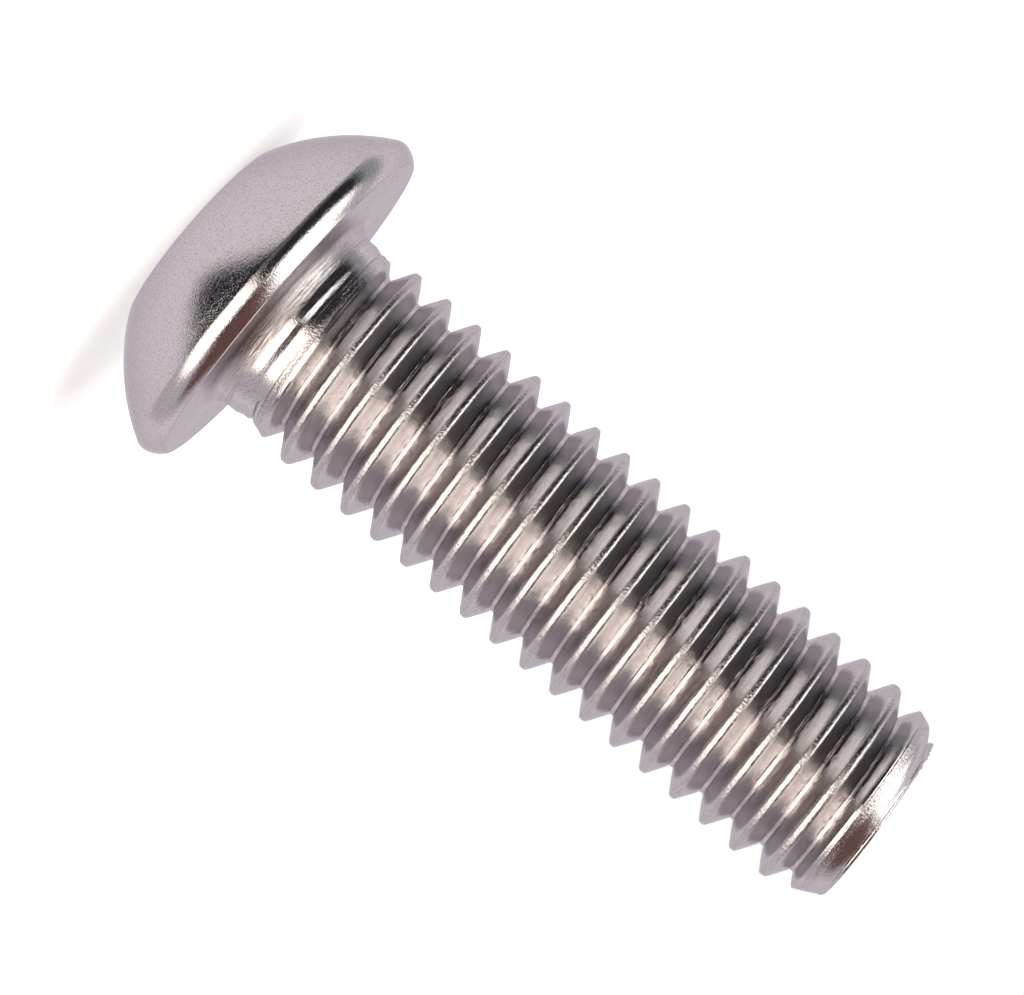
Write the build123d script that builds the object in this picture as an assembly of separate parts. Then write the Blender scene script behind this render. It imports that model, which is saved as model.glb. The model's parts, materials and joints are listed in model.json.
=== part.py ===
from build123d import *
import math
import os

# Button head screw, one solid. The flat top of the head lies on z = 0, centred on the origin,
# and the shank points up. Lengths are in millimetres and angles in degrees.

# Head
head_radius = 5.14
head_height = 3.00
top_land = 0.40  # flat ring between the socket's corners and the edge of the dome
top_corner = 0.60
dome_radius = 5.75  # arc of the dome, from the flat top to the rim
rim_width = 0.58  # from the dome's lower edge to the bearing face, along the axis
rim_setback = 0.28  # how far the bearing face's edge lies inside the head's
rim_bulge = 0.075  # how far the rim stands out from its chord
rim_corner = 0.40
bearing_corner = 0.06

# Hexagon socket
socket_flats = 4.02
socket_depth = 2.10
socket_mouth = 0.04  # how far the mouth's chamfer reaches past the hexagon's corners
drill_angle = 120.0  # cone at the bottom of the socket

# Shank
shank_length = 19.75  # from the bearing face to the middle of the end
shank_offset = 0.10  # the formed head sits slightly off the shank's axis
neck_fillet = 0.42
neck_plain = 0.08  # plain stretch between the fillet and the thread
point_length = 1.85  # length of the rounded end
point_wear = 0.563  # how much lower the crests are at the end
end_tilt = 4.5  # the end was sheared slightly out of square, shorter towards -X

# Thread, right-handed
major_radius = 2.943
pitch = 1.0
thread_angle = 60.0
crest_rise = 0.253  # how far rolling raised the crests above the neck
crest_flat = 0.16
root_flat = 0.14
crest_height = 0.447  # where the helix of the crest's middle would cross the +X side near z = 0
growth_length = 1.70  # the crests grow from the neck to full size over this length
fade_length = 0.95  # the groove sinks from the neck to full depth over this length
least_depth = 0.02  # of the groove, where it starts
neck_step = 0.03  # the first crests lie this far inside the neck's surface
spare_turns = 1.2  # modelled before the neck's end and past the shank's end, then cut off
points_per_turn = 10
rate_step = 0.001  # in turns, for the direction of an edge at its ends

corner_radius = socket_flats / 2 / math.cos(math.radians(30))
top_radius = corner_radius + top_land
rim_height = head_height - rim_width
bearing_radius = head_radius - rim_setback
neck_radius = major_radius - crest_rise
thread_start = head_height + neck_fillet + neck_plain
end_height = head_height + shank_length
end_slope = math.tan(math.radians(end_tilt))
thread_end = end_height + major_radius * end_slope
point_start = end_height - point_length
flank_slope = math.tan(math.radians(thread_angle / 2))
root_radius = major_radius - (pitch - crest_flat - root_flat) / 2 / flank_slope


def near(shape, x, z):
    """The corner of a profile that lies nearest to a point."""
    return shape.vertices().sort_by_distance(Vector(x, z, 0))[0]


def head():
    """Domed head with its softened corners, turned about the Z axis."""
    flat = Line((0, 0), (top_radius, 0))
    dome = RadiusArc((top_radius, 0), (head_radius, rim_height), -dome_radius)
    rim = SagittaArc((head_radius, rim_height), (bearing_radius, head_height), -rim_bulge)
    back = Polyline((bearing_radius, head_height), (0, head_height), (0, 0))
    profile = make_face([flat, dome, rim, back])
    profile = fillet(near(profile, top_radius, 0), top_corner)
    profile = fillet(near(profile, head_radius, rim_height), rim_corner)
    profile = fillet(near(profile, bearing_radius, head_height), bearing_corner)
    return revolve(Plane.XZ * profile, Axis.Z)


def socket():
    """Hexagon socket with a chamfered mouth and the cone of the drill at its bottom."""
    prism = extrude(RegularPolygon(corner_radius, 6), socket_depth)
    drill_rise = socket_flats / 2 / math.tan(math.radians(drill_angle / 2))
    drill = Pos(0, 0, socket_depth + drill_rise / 2) * Cone(socket_flats / 2, 0, drill_rise)
    mouth_radius = corner_radius + socket_mouth
    mouth_depth = mouth_radius - socket_flats / 2
    mouth = Pos(0, 0, mouth_depth / 2) * Cone(mouth_radius, socket_flats / 2, mouth_depth)
    return prism + drill + mouth


def neck():
    """Plain neck under the head, with the fillet to the bearing face."""
    fillet_start = (neck_radius + neck_fillet, head_height)
    fillet_end = (neck_radius, head_height + neck_fillet)
    profile = make_face([
        Line((0, head_height), fillet_start),
        RadiusArc(fillet_start, fillet_end, neck_fillet),
        Polyline(fillet_end, (neck_radius, thread_start), (0, thread_start), (0, head_height)),
    ])
    return revolve(Plane.XZ * profile, Axis.Z)


def crest_radius(height):
    """The crests grow out of the neck, run at full size and are rounded off at the end."""
    first = neck_radius - neck_step
    grown = min(1, max(0, height - thread_start) / growth_length)
    worn = max(0, (height - point_start) / point_length) ** 2
    radius = first + (major_radius - first) * grown - point_wear * worn
    return max(radius, root_radius + least_depth)


def groove_radius(height):
    """The groove sinks from the neck's surface to the root."""
    first = neck_radius - neck_step - least_depth
    sunk = min(1, max(0, height - thread_start) / fade_length)
    return first + (root_radius - first) * sunk


def helix_point(turns, radius, height):
    """Point on a cylinder, after so many turns from the +X side towards +Y."""
    angle = 2 * math.pi * turns
    return Vector(radius * math.cos(angle), radius * math.sin(angle), height)


def crest_point(turns, side):
    """Point on one edge of the crest: side is -1 for the lower edge and 1 for the upper."""
    middle = pitch * turns + crest_height
    radius = crest_radius(middle)
    half = crest_flat / 2 + (major_radius - radius) * flank_slope
    return helix_point(turns, radius, middle + side * half)


def groove_point(turns, side):
    """Point on one edge of the groove's bottom, half a pitch above the crest."""
    middle = pitch * (turns + 0.5) + crest_height
    radius = groove_radius(middle)
    half = root_flat / 2 + (radius - root_radius) * flank_slope
    return helix_point(turns, radius, middle + side * half)


def helix_edge(point, side, start):
    """One turn of a crest's or groove's edge, smooth with the turns before and after it."""
    fractions = [count / points_per_turn for count in range(points_per_turn + 1)]
    points = [point(start + fraction, side) for fraction in fractions]
    rates = []
    for end in (start, start + 1):
        rise = point(end + rate_step / 2, side) - point(end - rate_step / 2, side)
        rates.append(rise / rate_step)
    return Edge.make_spline(points, tangents=rates, parameters=fractions, scale=False)


def end_faces(edge, turn_points):
    """Floor from one turn of the helix to the axis, and the flat wall where that turn closes."""
    low, high = turn_points[0], turn_points[-1]
    axis_low, axis_high = Vector(0, 0, low.Z), Vector(0, 0, high.Z)
    floor = Face.make_surface_from_curves(Edge.make_line(axis_low, axis_high), edge)
    wall = Face(Wire.make_polygon([axis_low, *turn_points, axis_high], close=True))
    return [floor, wall]


def thread():
    """Threaded shank as one body, bounded by crest, flank, groove and flank along each turn."""
    first = (thread_start - crest_height) / pitch - spare_turns
    turns = math.ceil((thread_end - thread_start) / pitch + 2 * spare_turns)
    faces = []
    lower = helix_edge(crest_point, -1, first)
    first_lower = lower
    for turn in range(turns):
        start = first + turn
        edges = [
            lower,
            helix_edge(crest_point, 1, start),
            helix_edge(groove_point, -1, start),
            helix_edge(groove_point, 1, start),
            helix_edge(crest_point, -1, start + 1),
        ]
        for below, above in zip(edges, edges[1:]):
            faces.append(Face.make_surface_from_curves(below, above))
        lower = edges[-1]
    for edge, start in ((first_lower, first), (lower, first + turns)):
        turn_points = [
            crest_point(start, -1),
            crest_point(start, 1),
            groove_point(start, -1),
            groove_point(start, 1),
            crest_point(start + 1, -1),
        ]
        faces += end_faces(edge, turn_points)
    return Solid(Shell(faces))


def shank():
    """Neck and thread, sheared off at the end by a slightly tilted plane."""
    body = split(thread(), bisect_by=Plane((0, 0, thread_start)), keep=Keep.TOP)
    body = split(body, bisect_by=Plane((0, 0, end_height), z_dir=(-end_slope, 0, 1)), keep=Keep.BOTTOM)
    return neck() + body


os.makedirs("parts", exist_ok=True)
screw = head() - socket() + Pos(shank_offset, 0, 0) * shank()
screw.label = "button_head_screw"
export_step(screw, "parts/button_head_screw.step")
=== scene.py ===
import json
import math
import bmesh
import bpy
from mathutils import Matrix, Vector


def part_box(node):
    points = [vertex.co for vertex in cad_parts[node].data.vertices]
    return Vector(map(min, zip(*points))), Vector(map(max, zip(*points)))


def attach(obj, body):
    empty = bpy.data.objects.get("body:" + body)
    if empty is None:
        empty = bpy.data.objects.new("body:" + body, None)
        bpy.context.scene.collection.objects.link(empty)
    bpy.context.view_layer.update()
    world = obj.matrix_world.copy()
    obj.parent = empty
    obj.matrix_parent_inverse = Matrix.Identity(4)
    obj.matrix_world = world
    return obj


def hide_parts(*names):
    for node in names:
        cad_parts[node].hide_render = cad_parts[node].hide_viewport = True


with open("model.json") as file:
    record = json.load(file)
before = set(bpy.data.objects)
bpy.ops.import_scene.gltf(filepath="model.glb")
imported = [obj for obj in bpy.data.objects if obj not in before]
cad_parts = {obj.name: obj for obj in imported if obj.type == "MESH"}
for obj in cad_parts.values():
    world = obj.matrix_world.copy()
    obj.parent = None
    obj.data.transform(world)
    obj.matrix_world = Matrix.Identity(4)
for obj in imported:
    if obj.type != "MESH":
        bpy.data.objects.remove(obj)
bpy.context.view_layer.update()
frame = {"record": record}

# Button head screw, standing head down on a pale floor. Lengths are in metres unless a name or
# a note says millimetres; the screw's own sizes are in millimetres, as on a drawing.

mm = 0.001
nodeName = "button_head_screw"
lowCorner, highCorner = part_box(nodeName)
mounts = {mount["name"]: mount for mount in frame["record"]["mounts"]}
print("frame loaded:", nodeName)


# A number, colour or vector that travels through a node tree, so that sums read as sums
class Wire:
    def __init__(self, tree, socket):
        self.tree = tree
        self.socket = socket

    def __add__(self, other):
        return self.tree.calc("ADD", self, other)

    def __radd__(self, other):
        return self.tree.calc("ADD", other, self)

    def __sub__(self, other):
        return self.tree.calc("SUBTRACT", self, other)

    def __rsub__(self, other):
        return self.tree.calc("SUBTRACT", other, self)

    def __mul__(self, other):
        return self.tree.calc("MULTIPLY", self, other)

    def __rmul__(self, other):
        return self.tree.calc("MULTIPLY", other, self)

    def __truediv__(self, other):
        return self.tree.calc("DIVIDE", self, other)

    def __rtruediv__(self, other):
        return self.tree.calc("DIVIDE", other, self)

    def __neg__(self):
        return self.tree.calc("MULTIPLY", self, -1.0)


# A node tree that is written as expressions
class Graph:
    def __init__(self, nodeTree):
        self.nodeTree = nodeTree
        nodeTree.nodes.clear()

    # one node: its settings first, then its sockets by name or number, and the output that is read
    def node(self, kind, settings=None, sockets=None, out=0):
        made = self.nodeTree.nodes.new(kind)
        for key, value in (settings or {}).items():
            setattr(made, key, value)
        for key, value in (sockets or {}).items():
            if isinstance(value, Wire):
                self.nodeTree.links.new(value.socket, made.inputs[key])
            else:
                made.inputs[key].default_value = value
        return Wire(self, made.outputs[out]) if len(made.outputs) else made

    def calc(self, operation, *values, clamp=False):
        sockets = dict(enumerate(values))
        return self.node("ShaderNodeMath", {"operation": operation, "use_clamp": clamp}, sockets)

    def scale(self, vector, factor):
        return self.node("ShaderNodeVectorMath", {"operation": "SCALE"}, {0: vector, "Scale": factor})

    # the place on the object, in millimetres
    def place(self):
        return self.scale(self.node("ShaderNodeTexCoord", out=3), 1 / mm)

    def split(self, vector):
        made = self.node("ShaderNodeSeparateXYZ", None, {0: vector})
        outputs = made.socket.node.outputs
        return [Wire(self, outputs[axis]) for axis in range(3)]

    def join(self, x, y, z):
        return self.node("ShaderNodeCombineXYZ", None, {0: x, 1: y, 2: z})

    # 0 below low, 1 above high and smooth between
    def ramp(self, value, low, high):
        return self.node(
            "ShaderNodeMapRange",
            {"interpolation_type": "SMOOTHSTEP"},
            {"Value": value, "From Min": low, "From Max": high},
        )

    def mix(self, factor, low, high):
        return low + factor * (high - low)

    def mixColor(self, factor, low, high):
        return self.node("ShaderNodeMix", {"data_type": "RGBA"}, {0: factor, 6: low, 7: high}, out=2)

    def noise(self, vector, scale, detail, roughness, w=None):
        settings = {"noise_dimensions": "4D" if w is not None else "3D"}
        sockets = {"Vector": vector, "Scale": scale, "Detail": detail, "Roughness": roughness}
        if w is not None:
            sockets["W"] = w
        return self.node("ShaderNodeTexNoise", settings, sockets)


# The thread, as sizes in millimetres. Heights are above the floor.
threadSpec = {
    "majorRadius": mounts["thread"]["dims"]["r_mm"],
    "pitch": 1.0,
    "flankAngle": 32.0,  # of each flank to the shank's radius, in degrees
    "crestFlat": 0.05,
    "crestArc": 0.10,  # radius of the crest's rounded edges
    "rootFlat": 0.10,
    "crestRise": 0.253,  # of the crests above the neck, from the rolling
    "crestHeight": 0.447,  # where the crest's helix would cross the +X side near the floor
    "growthDelay": 0.60,  # how far above the fillet the crests begin to grow
    "growthLength": 1.05,
    "fadeDelay": 0.52,  # how far above the fillet the groove begins to sink
    "fadeLength": 0.44,
    "pointLength": 1.85,
    "pointWear": 0.563,
    "bulge": 0.006,  # how far the flanks stand out from straight
    "crestRounding": 0.06,  # where the crest is lower than full size
    "rootRounding": 0.04,
    "leastDepth": 0.02,  # of the groove below a crest
    "wobble": 0.012,  # unevenness of the crest's edges
    "endRounding": 0.10,  # how far from the end its rounded edge starts
    "endInset": 0.6,  # how far that edge goes in, as a share of it
    "endRoughness": 0.012,
    "burr": 0.05,
    "capLength": 0.6,  # rows of the end face, as a length along the thread
    "segments": 168,
    "rowsPerTurn": 22,
    "crowding": 0.55,  # of the rows at the crests and roots, where 0 is even
    "seed": 4.0,
}

shankSpec = {
    "offset": mounts["thread"]["pos_m"][0] / mm,
    "neckFillet": 0.50,
    "neckShoulder": 0.07,  # how far the neck next to the fillet stands out
    "shoulderStart": 0.18,  # where it begins to run down to the neck, above the fillet
    "shoulderEnd": 0.38,
    "length": 19.75,
    "endTilt": 4.5,
}

headSpec = {
    "radius": (highCorner[0] - lowCorner[0]) / 2 / mm,
    "height": mounts["bearing_face"]["pos_m"][2] / mm,
    "topLand": 0.40,
    "topCorner": 0.60,
    "domeRadius": 5.75,
    "rimWidth": 0.58,
    "rimSetback": 0.28,
    "rimBulge": 0.075,
    "rimCorner": 0.40,
    "bearingCorner": 0.06,
    "bearingLand": 0.10,  # outer ring of the bearing face, which stays centred on the head
    "socketFlats": 4.02,
    "socketDepth": 2.10,
    "socketMouth": 0.04,
    "drillAngle": 120.0,
}

threadStart = headSpec["height"] + shankSpec["neckFillet"]
endHeight = headSpec["height"] + shankSpec["length"]
endSlope = math.tan(math.radians(shankSpec["endTilt"]))
neckRadius = threadSpec["majorRadius"] - threadSpec["crestRise"]
shoulderRadius = neckRadius + shankSpec["neckShoulder"]


def threadTree(steel):
    spec = threadSpec
    tree = bpy.data.node_groups.new("rolledThread", "GeometryNodeTree")
    tree.interface.new_socket("Geometry", in_out="OUTPUT", socket_type="NodeSocketGeometry")
    values = {
        "Thread Start": threadStart,
        "End Height": endHeight,
        "End Slope": endSlope,
        "Neck Radius": neckRadius,
        "Neck Shoulder": shankSpec["neckShoulder"],
        "Shoulder Start": shankSpec["shoulderStart"],
        "Shoulder End": shankSpec["shoulderEnd"],
        "Major Radius": spec["majorRadius"],
        "Pitch": spec["pitch"],
        "Crest Height": spec["crestHeight"],
        "Crest Flat": spec["crestFlat"],
        "Crest Arc": spec["crestArc"],
        "Root Flat": spec["rootFlat"],
        "Flank Slope": math.tan(math.radians(spec["flankAngle"])),
        "Growth Delay": spec["growthDelay"],
        "Growth Length": spec["growthLength"],
        "Fade Delay": spec["fadeDelay"],
        "Fade Length": spec["fadeLength"],
        "Point Length": spec["pointLength"],
        "Point Wear": spec["pointWear"],
        "Bulge": spec["bulge"],
        "Crest Rounding": spec["crestRounding"],
        "Root Rounding": spec["rootRounding"],
        "Least Depth": spec["leastDepth"],
        "Wobble": spec["wobble"],
        "End Rounding": spec["endRounding"],
        "End Roughness": spec["endRoughness"],
        "Burr": spec["burr"],
        "Cap Length": spec["capLength"],
        "Axis Offset": shankSpec["offset"],
        "Seed": spec["seed"],
    }
    for name in values:
        tree.interface.new_socket(name, in_out="INPUT", socket_type="NodeSocketFloat")
    for name in ("Segments", "Rows", "Rows Per Turn"):
        tree.interface.new_socket(name, in_out="INPUT", socket_type="NodeSocketInt")
    graph = Graph(tree)
    inlet = graph.node("NodeGroupInput").socket.node
    take = {socket.name: Wire(graph, socket) for socket in inlet.outputs if socket.name}
    firstTurn = math.floor((threadStart - spec["crestHeight"]) / spec["pitch"]) - 1
    reach = endHeight + spec["majorRadius"] * endSlope + spec["burr"] + spec["capLength"]
    turns = math.ceil((reach - spec["crestHeight"]) / spec["pitch"]) - firstTurn
    values["Segments"] = spec["segments"]
    values["Rows"] = turns * spec["rowsPerTurn"]
    values["Rows Per Turn"] = spec["rowsPerTurn"]

    # a flat sheet whose columns go once round and whose rows follow the helix
    sheet = graph.node(
        "GeometryNodeMeshGrid",
        None,
        {"Size X": 1.0, "Size Y": 1.0, "Vertices X": take["Segments"] + 1, "Vertices Y": take["Rows"] + 1},
    )
    across, along, _ = graph.split(graph.node("GeometryNodeInputPosition"))
    around = across + 0.5
    angle = around * math.tau
    cosine = graph.calc("COSINE", angle)
    sine = graph.calc("SINE", angle)
    rowTurn = graph.calc("ROUND", (along + 0.5) * take["Rows"]) / take["Rows Per Turn"]
    # rows crowd together at the crest and the root, twice in each turn
    wave = 2 * math.tau
    crowded = rowTurn - graph.calc("SINE", rowTurn * wave) * (spec["crowding"] / wave)
    freeHeight = take["Crest Height"] + take["Pitch"] * (crowded + firstTurn + around)
    endRadius = take["Major Radius"] - take["Point Wear"]
    endAt = take["End Height"] + take["End Slope"] * cosine * endRadius
    height = graph.calc("MINIMUM", graph.calc("MAXIMUM", freeHeight, take["Thread Start"]), endAt)

    # how far this height is from the middle of the nearest crest, below it negative
    phase = (height - take["Crest Height"]) / take["Pitch"] - around
    fromCrest = (phase - graph.calc("ROUND", phase)) * take["Pitch"]
    spot = graph.join(cosine * 3.0, sine * 3.0, height + take["Seed"] * 37.0)
    rough = graph.noise(spot, 2.3, 3.0, 0.6) - 0.5
    fine = graph.noise(spot, 7.0, 2.0, 0.5) - 0.5
    shifted = fromCrest + take["Wobble"] * (rough * 2.2 + fine * 2.0)
    distance = graph.calc("ABSOLUTE", shifted)

    alongNeck = height - take["Thread Start"]
    growing = graph.ramp(alongNeck - take["Growth Delay"], 0.0, take["Growth Length"])
    sinking = graph.calc("DIVIDE", alongNeck - take["Fade Delay"], take["Fade Length"], clamp=True)
    pastPoint = height - (take["End Height"] - take["Point Length"])
    wearing = graph.calc("MAXIMUM", pastPoint / take["Point Length"], 0.0)
    # the arc of the crest runs into the flanks at this distance from the crest's middle
    flare = math.radians(90 - spec["flankAngle"])
    arcHalf = take["Crest Arc"] * math.sin(flare)
    arcDrop = take["Crest Arc"] * (1 - math.cos(flare))
    flats = take["Crest Flat"] / 2 + take["Root Flat"] / 2
    depth = arcDrop + (take["Pitch"] / 2 - arcHalf - flats) / take["Flank Slope"]
    rootRadius = take["Major Radius"] - depth
    # half the rounding above the ridge, so that the blend hardly lowers a crest at full size
    fullSize = take["Major Radius"] + take["Crest Rounding"] / 2
    crest = graph.mix(growing, take["Neck Radius"], fullSize)
    crest = crest - take["Point Wear"] * wearing * wearing
    root = graph.mix(sinking, take["Neck Radius"], rootRadius)
    crest = graph.calc("MAXIMUM", crest, root + take["Least Depth"])

    pastFlat = graph.calc("MAXIMUM", distance - take["Crest Flat"] / 2, 0.0)
    onArc = graph.calc("MINIMUM", pastFlat, arcHalf)
    arcHeight = graph.calc("SQRT", take["Crest Arc"] * take["Crest Arc"] - onArc * onArc)
    arcRise = arcHeight - take["Crest Arc"]
    ridge = take["Major Radius"] + arcRise - (pastFlat - onArc) / take["Flank Slope"]
    level = graph.calc("DIVIDE", ridge - rootRadius, depth, clamp=True)
    ridge = ridge + take["Bulge"] * 4.0 * level * (1.0 - level)
    radius = graph.calc("SMOOTH_MIN", crest, ridge, take["Crest Rounding"])
    radius = graph.calc("SMOOTH_MAX", root, radius, take["Root Rounding"])
    # up to just before the groove the neck stays plain
    settled = graph.ramp(alongNeck - take["Fade Delay"], -0.12, -0.06)
    taper = take["Shoulder End"] - take["Shoulder Start"]
    worn = graph.calc("DIVIDE", alongNeck - take["Shoulder Start"], taper, clamp=True)
    radius = graph.mix(settled, take["Neck Radius"], radius) + take["Neck Shoulder"] * (1.0 - worn)

    # the end: a rounded edge, then a face that closes on the axis, with a burr on the -X side
    below = graph.calc("MAXIMUM", take["End Rounding"] - (endAt - height), 0.0)
    arc = graph.calc("MAXIMUM", take["End Rounding"] * take["End Rounding"] - below * below, 0.0)
    radius = radius - (take["End Rounding"] - graph.calc("SQRT", arc)) * spec["endInset"]
    rowGap = 1.5 * take["Pitch"] / take["Rows Per Turn"]
    beyond = graph.calc("MAXIMUM", freeHeight - endAt - rowGap, 0.0)
    closing = 1.0 - graph.calc("DIVIDE", beyond, take["Cap Length"] - rowGap, clamp=True)
    radius = radius * closing
    x = radius * cosine
    y = radius * sine
    onCap = graph.ramp(freeHeight, endAt - 0.02, endAt)
    capHeight = take["End Height"] + take["End Slope"] * x
    capSpot = graph.join(x, y * 4.0, take["Seed"])
    capGrain = (graph.noise(capSpot, 3.0, 4.0, 0.6) - 0.5) * take["End Roughness"]
    capGrain = capGrain * graph.ramp(radius, 1.2, 2.2)
    atEdge = graph.ramp(closing, 0.86, 1.0) * graph.ramp(-cosine, 0.3, 0.9)
    lip = take["Burr"] * atEdge * graph.ramp(fine + rough, -0.2, 0.3)
    z = graph.mix(onCap, height, capHeight + capGrain + lip)
    place = graph.join((x + take["Axis Offset"]) * mm, y * mm, z * mm)

    shaped = graph.node("GeometryNodeSetPosition", None, {"Geometry": sheet, "Position": place})
    closed = graph.node("GeometryNodeMergeByDistance", None, {"Geometry": shaped, "Distance": 0.0004 * mm})
    real = graph.node("GeometryNodeRealizeInstances", None, {"Geometry": closed})
    dressed = graph.node("GeometryNodeSetMaterial", None, {"Geometry": real, "Material": steel})
    graph.node("NodeGroupOutput", None, {0: dressed})
    return tree, values


def plainMesh(tree, values, name):
    carrier = bpy.data.objects.new(name, bpy.data.meshes.new(name))
    bpy.context.scene.collection.objects.link(carrier)
    modifier = carrier.modifiers.new("shape", "NODES")
    modifier.node_group = tree
    for item in tree.interface.items_tree:
        if item.item_type == "SOCKET" and item.in_out == "INPUT":
            modifier[item.identifier] = values[item.name]
    bpy.context.view_layer.update()
    ready = carrier.evaluated_get(bpy.context.evaluated_depsgraph_get())
    mesh = bpy.data.meshes.new_from_object(ready)
    carrier.modifiers.remove(modifier)
    bpy.data.objects.remove(carrier)
    return mesh


# Points of an arc from start to end, without its start; a positive radius bends to the right
def arcPoints(start, end, radius, count):
    start = Vector(start)
    end = Vector(end)
    middle = (start + end) / 2
    chord = end - start
    rise = math.sqrt(radius * radius - chord.length_squared / 4)
    side = Vector((chord.y, -chord.x)).normalized()
    centre = middle + side * math.copysign(rise, radius)
    turn = 2 * math.asin(chord.length / 2 / abs(radius)) * -math.copysign(1, radius)
    spoke = start - centre
    return [centre + Matrix.Rotation(turn * step / count, 2) @ spoke for step in range(1, count + 1)]


# Points that round the corner of an outline
def roundedCorner(before, corner, after, radius, count):
    corner = Vector(corner)
    inward = (Vector(before) - corner).normalized()
    onward = (Vector(after) - corner).normalized()
    half = inward.angle(onward) / 2
    reach = radius / math.tan(half)
    start = corner + inward * reach
    end = corner + onward * reach
    turnsRight = inward.x * onward.y - inward.y * onward.x
    return [start] + arcPoints(start, end, math.copysign(radius, turnsRight), count)


def headOutline():
    spec = headSpec
    cornerRadius = spec["socketFlats"] / 2 / math.cos(math.radians(30))
    topRadius = cornerRadius + spec["topLand"]
    rimHeight = spec["height"] - spec["rimWidth"]
    bearingRadius = spec["radius"] - spec["rimSetback"]
    mouthRadius = cornerRadius + spec["socketMouth"]
    rimEdge = (spec["radius"], rimHeight)
    bearingEdge = (bearingRadius, spec["height"])
    filletEnd = (shoulderRadius + shankSpec["neckFillet"], spec["height"])

    dome = arcPoints((topRadius, 0), rimEdge, -spec["domeRadius"], 26)
    chord = (Vector(bearingEdge) - Vector(rimEdge)).length
    rimRadius = (chord * chord / 4 + spec["rimBulge"] ** 2) / 2 / spec["rimBulge"]
    rim = arcPoints(rimEdge, bearingEdge, -rimRadius, 10)
    points = [Vector((mouthRadius, 0)), Vector(((mouthRadius + topRadius) / 2, 0))]
    points += roundedCorner((mouthRadius, 0), (topRadius, 0), dome[1], spec["topCorner"], 8)
    points += dome[2:-3]
    points += roundedCorner(dome[-3], rimEdge, rim[1], spec["rimCorner"], 6)
    points += rim[2:-2]
    points += roundedCorner(rim[-2], bearingEdge, filletEnd, spec["bearingCorner"], 3)
    # the bearing face, in rings that take up the shank's offset
    outer = bearingRadius - spec["bearingLand"]
    inner = filletEnd[0]
    steps = 8
    for step in range(steps):
        points.append(Vector((outer, spec["height"])).lerp(Vector(filletEnd), step / steps))
    return points, mouthRadius, outer, inner


def headRings():
    spec = headSpec
    outline, mouthRadius, outer, inner = headOutline()
    flat = spec["socketFlats"] / 2
    drillRise = flat / math.tan(math.radians(spec["drillAngle"] / 2))

    def hexagon(angle):
        return flat / math.cos(angle % math.radians(60) - math.radians(30))

    rings = []
    # each ring gives radius, height and the share of the shank's offset, for one angle
    for share in (0.25, 0.5, 0.75):
        depth = spec["socketDepth"] + drillRise * (1 - share)
        rings.append(lambda angle, share=share, depth=depth: (flat * share, depth, 0))
    rings.append(lambda angle: (flat * 0.999, spec["socketDepth"], 0))
    rings.append(lambda angle: (hexagon(angle) * 0.997, spec["socketDepth"], 0))
    for share in (0.98, 0.75, 0.5, 0.25, 0.0):
        def wall(angle, share=share):
            edge = mouthRadius - hexagon(angle)
            return hexagon(angle), edge + (spec["socketDepth"] - edge) * share, 0
        rings.append(wall)
    for point in outline:
        shift = 0.0
        if point.y > spec["height"] - 1e-6:
            shift = min(1.0, max(0.0, (outer - point.x) / (outer - inner)))
        rings.append(lambda angle, point=point, shift=shift: (point.x, point.y, shift))
    fillet = shankSpec["neckFillet"]
    start = (shoulderRadius + fillet, spec["height"])
    for point in [Vector(start)] + arcPoints(start, (shoulderRadius, threadStart), fillet, 8):
        rings.append(lambda angle, point=point: (point.x, point.y, 1.0))
    return rings, spec["socketDepth"] + drillRise


def buildScrew(steel):
    tree, values = threadTree(steel)
    shank = plainMesh(tree, values, "rolledThread")
    print("thread:", len(shank.polygons), "faces")
    screw = bmesh.new()
    screw.from_mesh(shank)
    rings, apexHeight = headRings()
    count = threadSpec["segments"]
    angles = [math.tau * step / count for step in range(count)]
    previous = None
    apex = screw.verts.new((0, 0, apexHeight * mm))
    for ring in rings:
        corners = []
        for angle in angles:
            radius, height, share = ring(angle)
            x = radius * math.cos(angle) + share * shankSpec["offset"]
            corners.append(screw.verts.new((x * mm, radius * math.sin(angle) * mm, height * mm)))
        for step in range(count):
            after = (step + 1) % count
            if previous is None:
                screw.faces.new((apex, corners[step], corners[after]))
            else:
                screw.faces.new((previous[step], corners[step], corners[after], previous[after]))
        previous = corners
    bmesh.ops.remove_doubles(screw, verts=screw.verts, dist=0.0005 * mm)
    bmesh.ops.recalc_face_normals(screw, faces=screw.faces)
    openEdges = sum(1 for edge in screw.edges if len(edge.link_faces) != 2)
    mesh = bpy.data.meshes.new("buttonHeadScrew")
    screw.to_mesh(mesh)
    screw.free()
    mesh.materials.clear()
    mesh.materials.append(steel)
    mesh.shade_smooth()
    creaseAngle = math.radians(42)  # an edge that turns further than this looks sharp
    mesh.set_sharp_from_angle(angle=creaseAngle)
    piece = bpy.data.objects.new("buttonHeadScrew", mesh)
    bpy.context.scene.collection.objects.link(piece)
    mesh.calc_loop_triangles()
    print("screw:", len(mesh.loop_triangles), "triangles,", openEdges, "open edges")
    return piece


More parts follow.
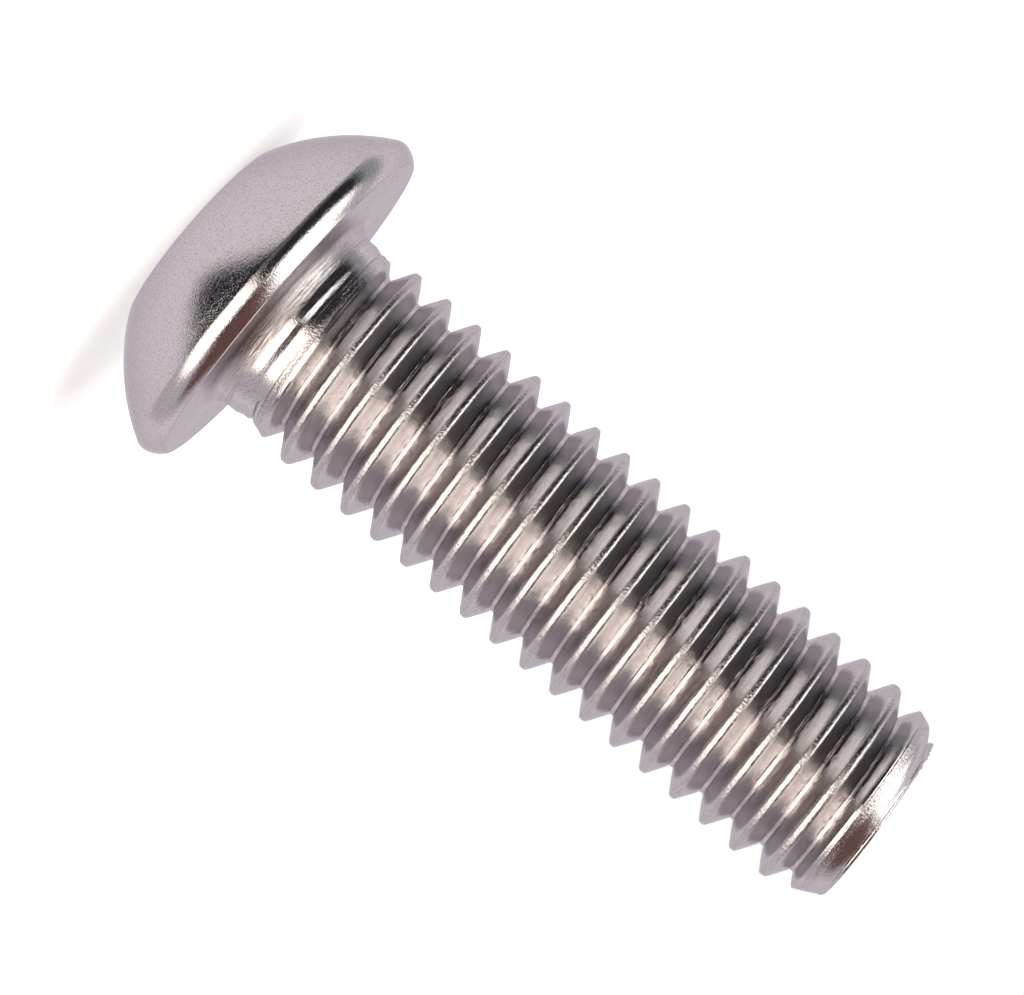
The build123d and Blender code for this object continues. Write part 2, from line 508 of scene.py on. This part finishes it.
steelSpec = {
    "color": (0.600, 0.558, 0.574),
    "edgeTint": (0.68, 0.65, 0.69),  # of the metal at grazing angles
    "cloudColor": (0.612, 0.568, 0.572),
    # painted shade: the thread's flanks take a darker, greyer colour than the rest of the steel
    "flankColor": (0.560, 0.550, 0.555),
    "flankShare": 0.5,
    "speckle": 0.30,
    "streakShare": 0.45,
    "pitColor": (0.16, 0.14, 0.14),
    "pitShare": 0.35,
    "domeRoughness": 0.15,
    "rimRoughness": 0.15,
    "bearingRoughness": 0.22,
    "flankRoughness": 0.20,
    "crestRoughness": 0.12,
    "rootRoughness": 0.13,
    "unevenRoughness": 0.12,
    "crestHalfWidth": 0.10,  # in millimetres, as are the next ones
    "rootHalfWidth": 0.11,
    "grainSize": 0.045,
    "grainDepth": 0.012,
    "dragSpacing": 0.045,
    "dragDepth": 0.006,
    "turningSpacing": 0.06,
    "turningDepth": 0.028,
    "tearDepth": 0.020,
    "tearSize": 0.065,
    "seamHeight": 0.007,  # of the fine ridge along the root
    "seamHalfWidth": 0.035,
}


def steelMaterial():
    spec = steelSpec
    material = bpy.data.materials.new("satinStainlessSteel")
    material.use_nodes = True
    graph = Graph(material.node_tree)
    place = graph.place()
    x, y, z = graph.split(place)
    fromAxis = x - shankSpec["offset"]
    radius = graph.calc("SQRT", fromAxis * fromAxis + y * y)
    turn = graph.calc("ARCTAN2", y, fromAxis) / math.tau
    cosTurn = fromAxis / radius
    sinTurn = y / radius
    phase = (z - threadSpec["crestHeight"]) / threadSpec["pitch"] - turn
    fromCrest = (phase - graph.calc("ROUND", phase)) * threadSpec["pitch"]
    distance = graph.calc("ABSOLUTE", fromCrest)

    # where each kind of surface lies
    threaded = graph.ramp(z, threadStart + 0.1, threadStart + 0.9)
    narrow = spec["crestHalfWidth"]
    onCrest = threaded * (1 - graph.ramp(distance, narrow * 0.8, narrow * 1.3))
    nearRoot = threadSpec["pitch"] / 2 - spec["rootHalfWidth"]
    onRoot = threaded * graph.ramp(distance, nearRoot * 0.95, nearRoot * 1.05)
    domeEdge = headSpec["height"] - headSpec["rimWidth"]
    onDome = 1 - graph.ramp(z, domeEdge - 0.35, domeEdge - 0.05)
    aboveRim = graph.ramp(z, headSpec["height"] - 0.02, headSpec["height"] - 0.01)
    onBearing = aboveRim * (1 - graph.ramp(z, threadStart - 0.1, threadStart + 0.1))

    # even grain, marks that run round the thread and turning lines under the head
    grain = graph.noise(place, 1 / spec["grainSize"], 2.0, 0.55)
    mottle = graph.noise(place, 2.2, 4.0, 0.6)
    cloud = graph.noise(place, 0.7, 2.0, 0.5)
    drag = graph.noise(graph.scale(place, 0.9), 1.0, 3.0, 0.65, w=fromCrest / spec["dragSpacing"])
    ringPlace = (radius - z) / spec["turningSpacing"]
    turning = graph.noise(graph.join(ringPlace, cosTurn, sinTurn), 1.0, 3.0, 0.7)
    torn = graph.noise(place, 1 / spec["tearSize"], 3.0, 0.6)
    relief = grain * spec["grainDepth"] * (0.45 + onDome * 0.55)
    relief = relief + drag * spec["dragDepth"] * threaded * (1 - onCrest * 0.7)
    relief = relief + turning * spec["turningDepth"] * onBearing
    relief = relief + torn * spec["tearDepth"] * onCrest
    seamPlace = threadSpec["pitch"] / 2 - distance + (torn - 0.5) * 0.03
    fromRoot = graph.calc("ABSOLUTE", seamPlace)
    seam = 1 - graph.ramp(fromRoot, 0.0, spec["seamHalfWidth"])
    relief = relief + seam * threaded * spec["seamHeight"]
    relief = relief + drag * spec["dragDepth"] * onRoot * 1.5
    bump = graph.node("ShaderNodeBump", None, {"Strength": 1.0, "Distance": mm, "Height": relief})

    rough = spec["rimRoughness"] + onDome * (spec["domeRoughness"] - spec["rimRoughness"])
    rough = rough + onBearing * (spec["bearingRoughness"] - spec["rimRoughness"])
    onFlank = threaded - onCrest - onRoot
    rough = rough + onFlank * (spec["flankRoughness"] - spec["rimRoughness"])
    rough = rough + onCrest * (spec["crestRoughness"] - spec["rimRoughness"])
    rough = rough + onRoot * (spec["rootRoughness"] - spec["rimRoughness"])
    rough = rough + (mottle - 0.5) * spec["unevenRoughness"]

    pits = graph.ramp(graph.noise(place, 11.0, 2.0, 0.6), 0.66, 0.74)
    shade = graph.mixColor(cloud, (*spec["color"], 1.0), (*spec["cloudColor"], 1.0))
    darker = tuple(part * (1 - spec["speckle"]) for part in spec["color"])
    shade = graph.mixColor(graph.ramp(grain, 0.25, 0.58), (*darker, 1.0), shade)
    streak = graph.ramp(drag, 0.30, 0.55) * threaded + graph.ramp(turning, 0.30, 0.55) * onBearing
    streakless = (threaded + onBearing - streak) * spec["streakShare"]
    shade = graph.mixColor(streakless, shade, (*darker, 1.0))
    # painted shade: the flanks are mixed half way towards a darker grey, so that they look darker
    shade = graph.mixColor(onFlank * spec["flankShare"], shade, (*spec["flankColor"], 1.0))
    shade = graph.mixColor(pits * spec["pitShare"], shade, (*spec["pitColor"], 1.0))
    shader = graph.node(
        "ShaderNodeBsdfPrincipled",
        None,
        {
            "Base Color": shade,
            "Metallic": 1.0,
            "Roughness": rough,
            "Specular Tint": (*spec["edgeTint"], 1.0),
            "Normal": bump,
        },
    )
    graph.node("ShaderNodeOutputMaterial", None, {"Surface": shader})
    print("steel:", material.name)
    return material


# The studio as seen from the screw. A direction is x to the right of the camera's view, y away
# from the camera and z up, each from -1 to 1, and a limit of 2 leaves a side open. Later areas
# cover earlier ones. The window, the skylight and the soft box are brighter than white.
lightSpec = {
    "back": (1.00, 0.95, 0.99),
    "soft": 0.035,  # how far each area fades on both sides of its limits
    "areas": {
        "sideWalls": {"y": (-2, 0.45), "color": (0.66, 0.63, 0.66)},
        "leftWall": {"x": (-2, -0.40), "y": (-2, 0.42), "z": (-0.75, 0.50), "color": (0.43, 0.44, 0.47)},
        "darkFront": {"y": (-2, -0.58), "color": (0.035, 0.033, 0.038)},
        "darkLeft": {"x": (-2, 0.05), "y": (-2, 0.05), "z": (-0.45, 0.46), "color": (0.03, 0.03, 0.036)},
        "underTable": {"x": (-2, 0.65), "y": (-2, -0.1), "z": (-2, -0.45), "color": (0.195, 0.178, 0.17)},
        "tableEdge": {"x": (-0.6, 0.75), "y": (-2, 0.12), "z": (-2, -0.78), "color": (0.022, 0.026, 0.04)},
        "warmCeiling": {"x": (-0.05, 2), "y": (-2, 0.20), "z": (0.55, 2), "color": (0.190, 0.098, 0.092)},
        "warmOverhead": {"x": (-0.05, 2), "y": (-2, 0.42), "z": (0.86, 2), "color": (0.190, 0.098, 0.092)},
        "window": {"x": (-2, -0.12), "y": (-2, -0.02), "z": (0.44, 2), "color": (2.60, 2.54, 2.40)},
        "skylight": {"x": (-2, -0.05), "y": (-2, 0.40), "z": (0.86, 2), "color": (2.60, 2.54, 2.40)},
        "softBox": {"x": (0.05, 2), "y": (-2, -0.35), "z": (-0.75, 0.37), "color": (3.1, 2.88, 2.52)},
    },
}


def studio():
    spec = lightSpec
    world = bpy.data.worlds.new("studio")
    bpy.context.scene.world = world
    world.use_nodes = True
    graph = Graph(world.node_tree)
    direction = graph.node("ShaderNodeTexCoord")
    parts = dict(zip("xyz", graph.split(direction)))
    room = (*spec["back"], 1.0)
    for area in spec["areas"].values():
        inside = 1.0
        for axis, part in parts.items():
            if axis in area:
                low, high = area[axis]
                inside = inside * graph.ramp(part, low - spec["soft"], low + spec["soft"])
                inside = inside * (1 - graph.ramp(part, high - spec["soft"], high + spec["soft"]))
        room = graph.mixColor(inside, room, (*area["color"], 1.0))
    camera = graph.node("ShaderNodeLightPath")
    seen = graph.mixColor(camera, room, (1.0, 1.0, 1.0, 1.0))
    background = graph.node("ShaderNodeBackground", None, {"Color": seen, "Strength": 1.0})
    graph.node("ShaderNodeOutputWorld", None, {"Surface": background})
    print("studio:", len(spec["areas"]), "areas")


# The table is white all round for the camera. In the metal it is white up to its front edge,
# which runs close before the head, and past that edge the metal shows the room below.
floorSpec = {
    "halfWidth": 0.6,
    "color": (0.82, 0.82, 0.82),
    "glow": 0.45,
    "edgeDistance": 7.2,  # from the head's axis to the front edge, in millimetres as are the next
    "edgeNotch": 2.65,  # how much closer the edge runs at its nearest
    "notchAzimuth": 14.0,  # in degrees, from the camera's side towards +X
    "notchWidth": 28.0,  # in degrees
    "edgeSoftness": 0.25,
    "sideSlope": 0.45,  # of the edge where it runs back on both sides
    "sideStart": 8.0,
    "sideSoftness": 1.0,
}


def paleFloor():
    spec = floorSpec
    half = spec["halfWidth"]
    mesh = bpy.data.meshes.new("paleFloor")
    corners = [(-half, -half, 0), (half, -half, 0), (half, half, 0), (-half, half, 0)]
    mesh.from_pydata(corners, [], [(0, 1, 2, 3)])
    floor = bpy.data.objects.new("paleFloor", mesh)
    bpy.context.scene.collection.objects.link(floor)
    material = bpy.data.materials.new("palePaper")
    material.use_nodes = True
    graph = Graph(material.node_tree)
    paths = graph.node("ShaderNodeLightPath").socket.node.outputs
    x, y, _ = graph.split(graph.place())
    glossy = Wire(graph, paths["Is Glossy Ray"])
    refracted = Wire(graph, paths["Is Transmission Ray"])
    mirrored = graph.calc("MAXIMUM", glossy, refracted)
    azimuth = graph.calc("ARCTAN2", x, -y) * math.degrees(1)
    fromNotch = (azimuth - spec["notchAzimuth"]) / spec["notchWidth"]
    notch = graph.calc("POWER", math.e, -fromNotch * fromNotch) * spec["edgeNotch"]
    beyond = graph.calc("SQRT", x * x + y * y) - spec["edgeDistance"] + notch
    pastEdge = graph.ramp(beyond, -spec["edgeSoftness"], spec["edgeSoftness"])
    behindEdge = y - (graph.calc("ABSOLUTE", x) - spec["sideStart"]) * spec["sideSlope"]
    pastEdge = pastEdge * (1 - graph.ramp(behindEdge, -spec["sideSoftness"], spec["sideSoftness"]))
    paper = graph.node("ShaderNodeBsdfDiffuse", None, {"Color": (*spec["color"], 1.0)})
    glow = graph.node(
        "ShaderNodeEmission",
        None,
        {"Color": (1, 1, 1, 1), "Strength": Wire(graph, paths["Is Camera Ray"]) * spec["glow"]},
    )
    table = graph.node("ShaderNodeAddShader", None, {0: paper, 1: glow})
    backColor = (*lightSpec["back"], 1.0)
    white = graph.node("ShaderNodeEmission", None, {"Color": backColor, "Strength": 1.0})
    below = graph.node("ShaderNodeBsdfTransparent")
    inMetal = graph.node("ShaderNodeMixShader", None, {0: pastEdge, 1: white, 2: below})
    surface = graph.node("ShaderNodeMixShader", None, {0: mirrored, 1: table, 2: inMetal})
    graph.node("ShaderNodeOutputMaterial", None, {"Surface": surface})
    mesh.materials.append(material)
    print("floor:", floor.name)


# Angles in degrees, lens and sensor in millimetres
cameraSpec = {
    "place": (0.00010, -0.10295, 0.014345),
    "pan": 0.098,
    "tilt": 87.822,
    "roll": 130.790,
    "lens": 142.56,
    "sensor": 36.0,
}


def camera():
    spec = cameraSpec
    lens = bpy.data.cameras.new("camera")
    lens.lens = spec["lens"]
    lens.sensor_width = spec["sensor"]
    lens.sensor_fit = "HORIZONTAL"
    lens.clip_start = 0.01
    lens.clip_end = 5.0
    holder = bpy.data.objects.new("camera", lens)
    pan = Matrix.Rotation(math.radians(spec["pan"]), 4, "Z")
    tilt = Matrix.Rotation(math.radians(spec["tilt"]), 4, "X")
    roll = Matrix.Rotation(math.radians(spec["roll"]), 4, "Z")
    holder.matrix_world = Matrix.Translation(spec["place"]) @ pan @ tilt @ roll
    bpy.context.scene.collection.objects.link(holder)
    bpy.context.scene.camera = holder


camera()
studio()
paleFloor()
steel = steelMaterial()
screw = buildScrew(steel)
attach(screw, "root")
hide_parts(nodeName)
bpy.context.scene.view_settings.view_transform = "Standard"
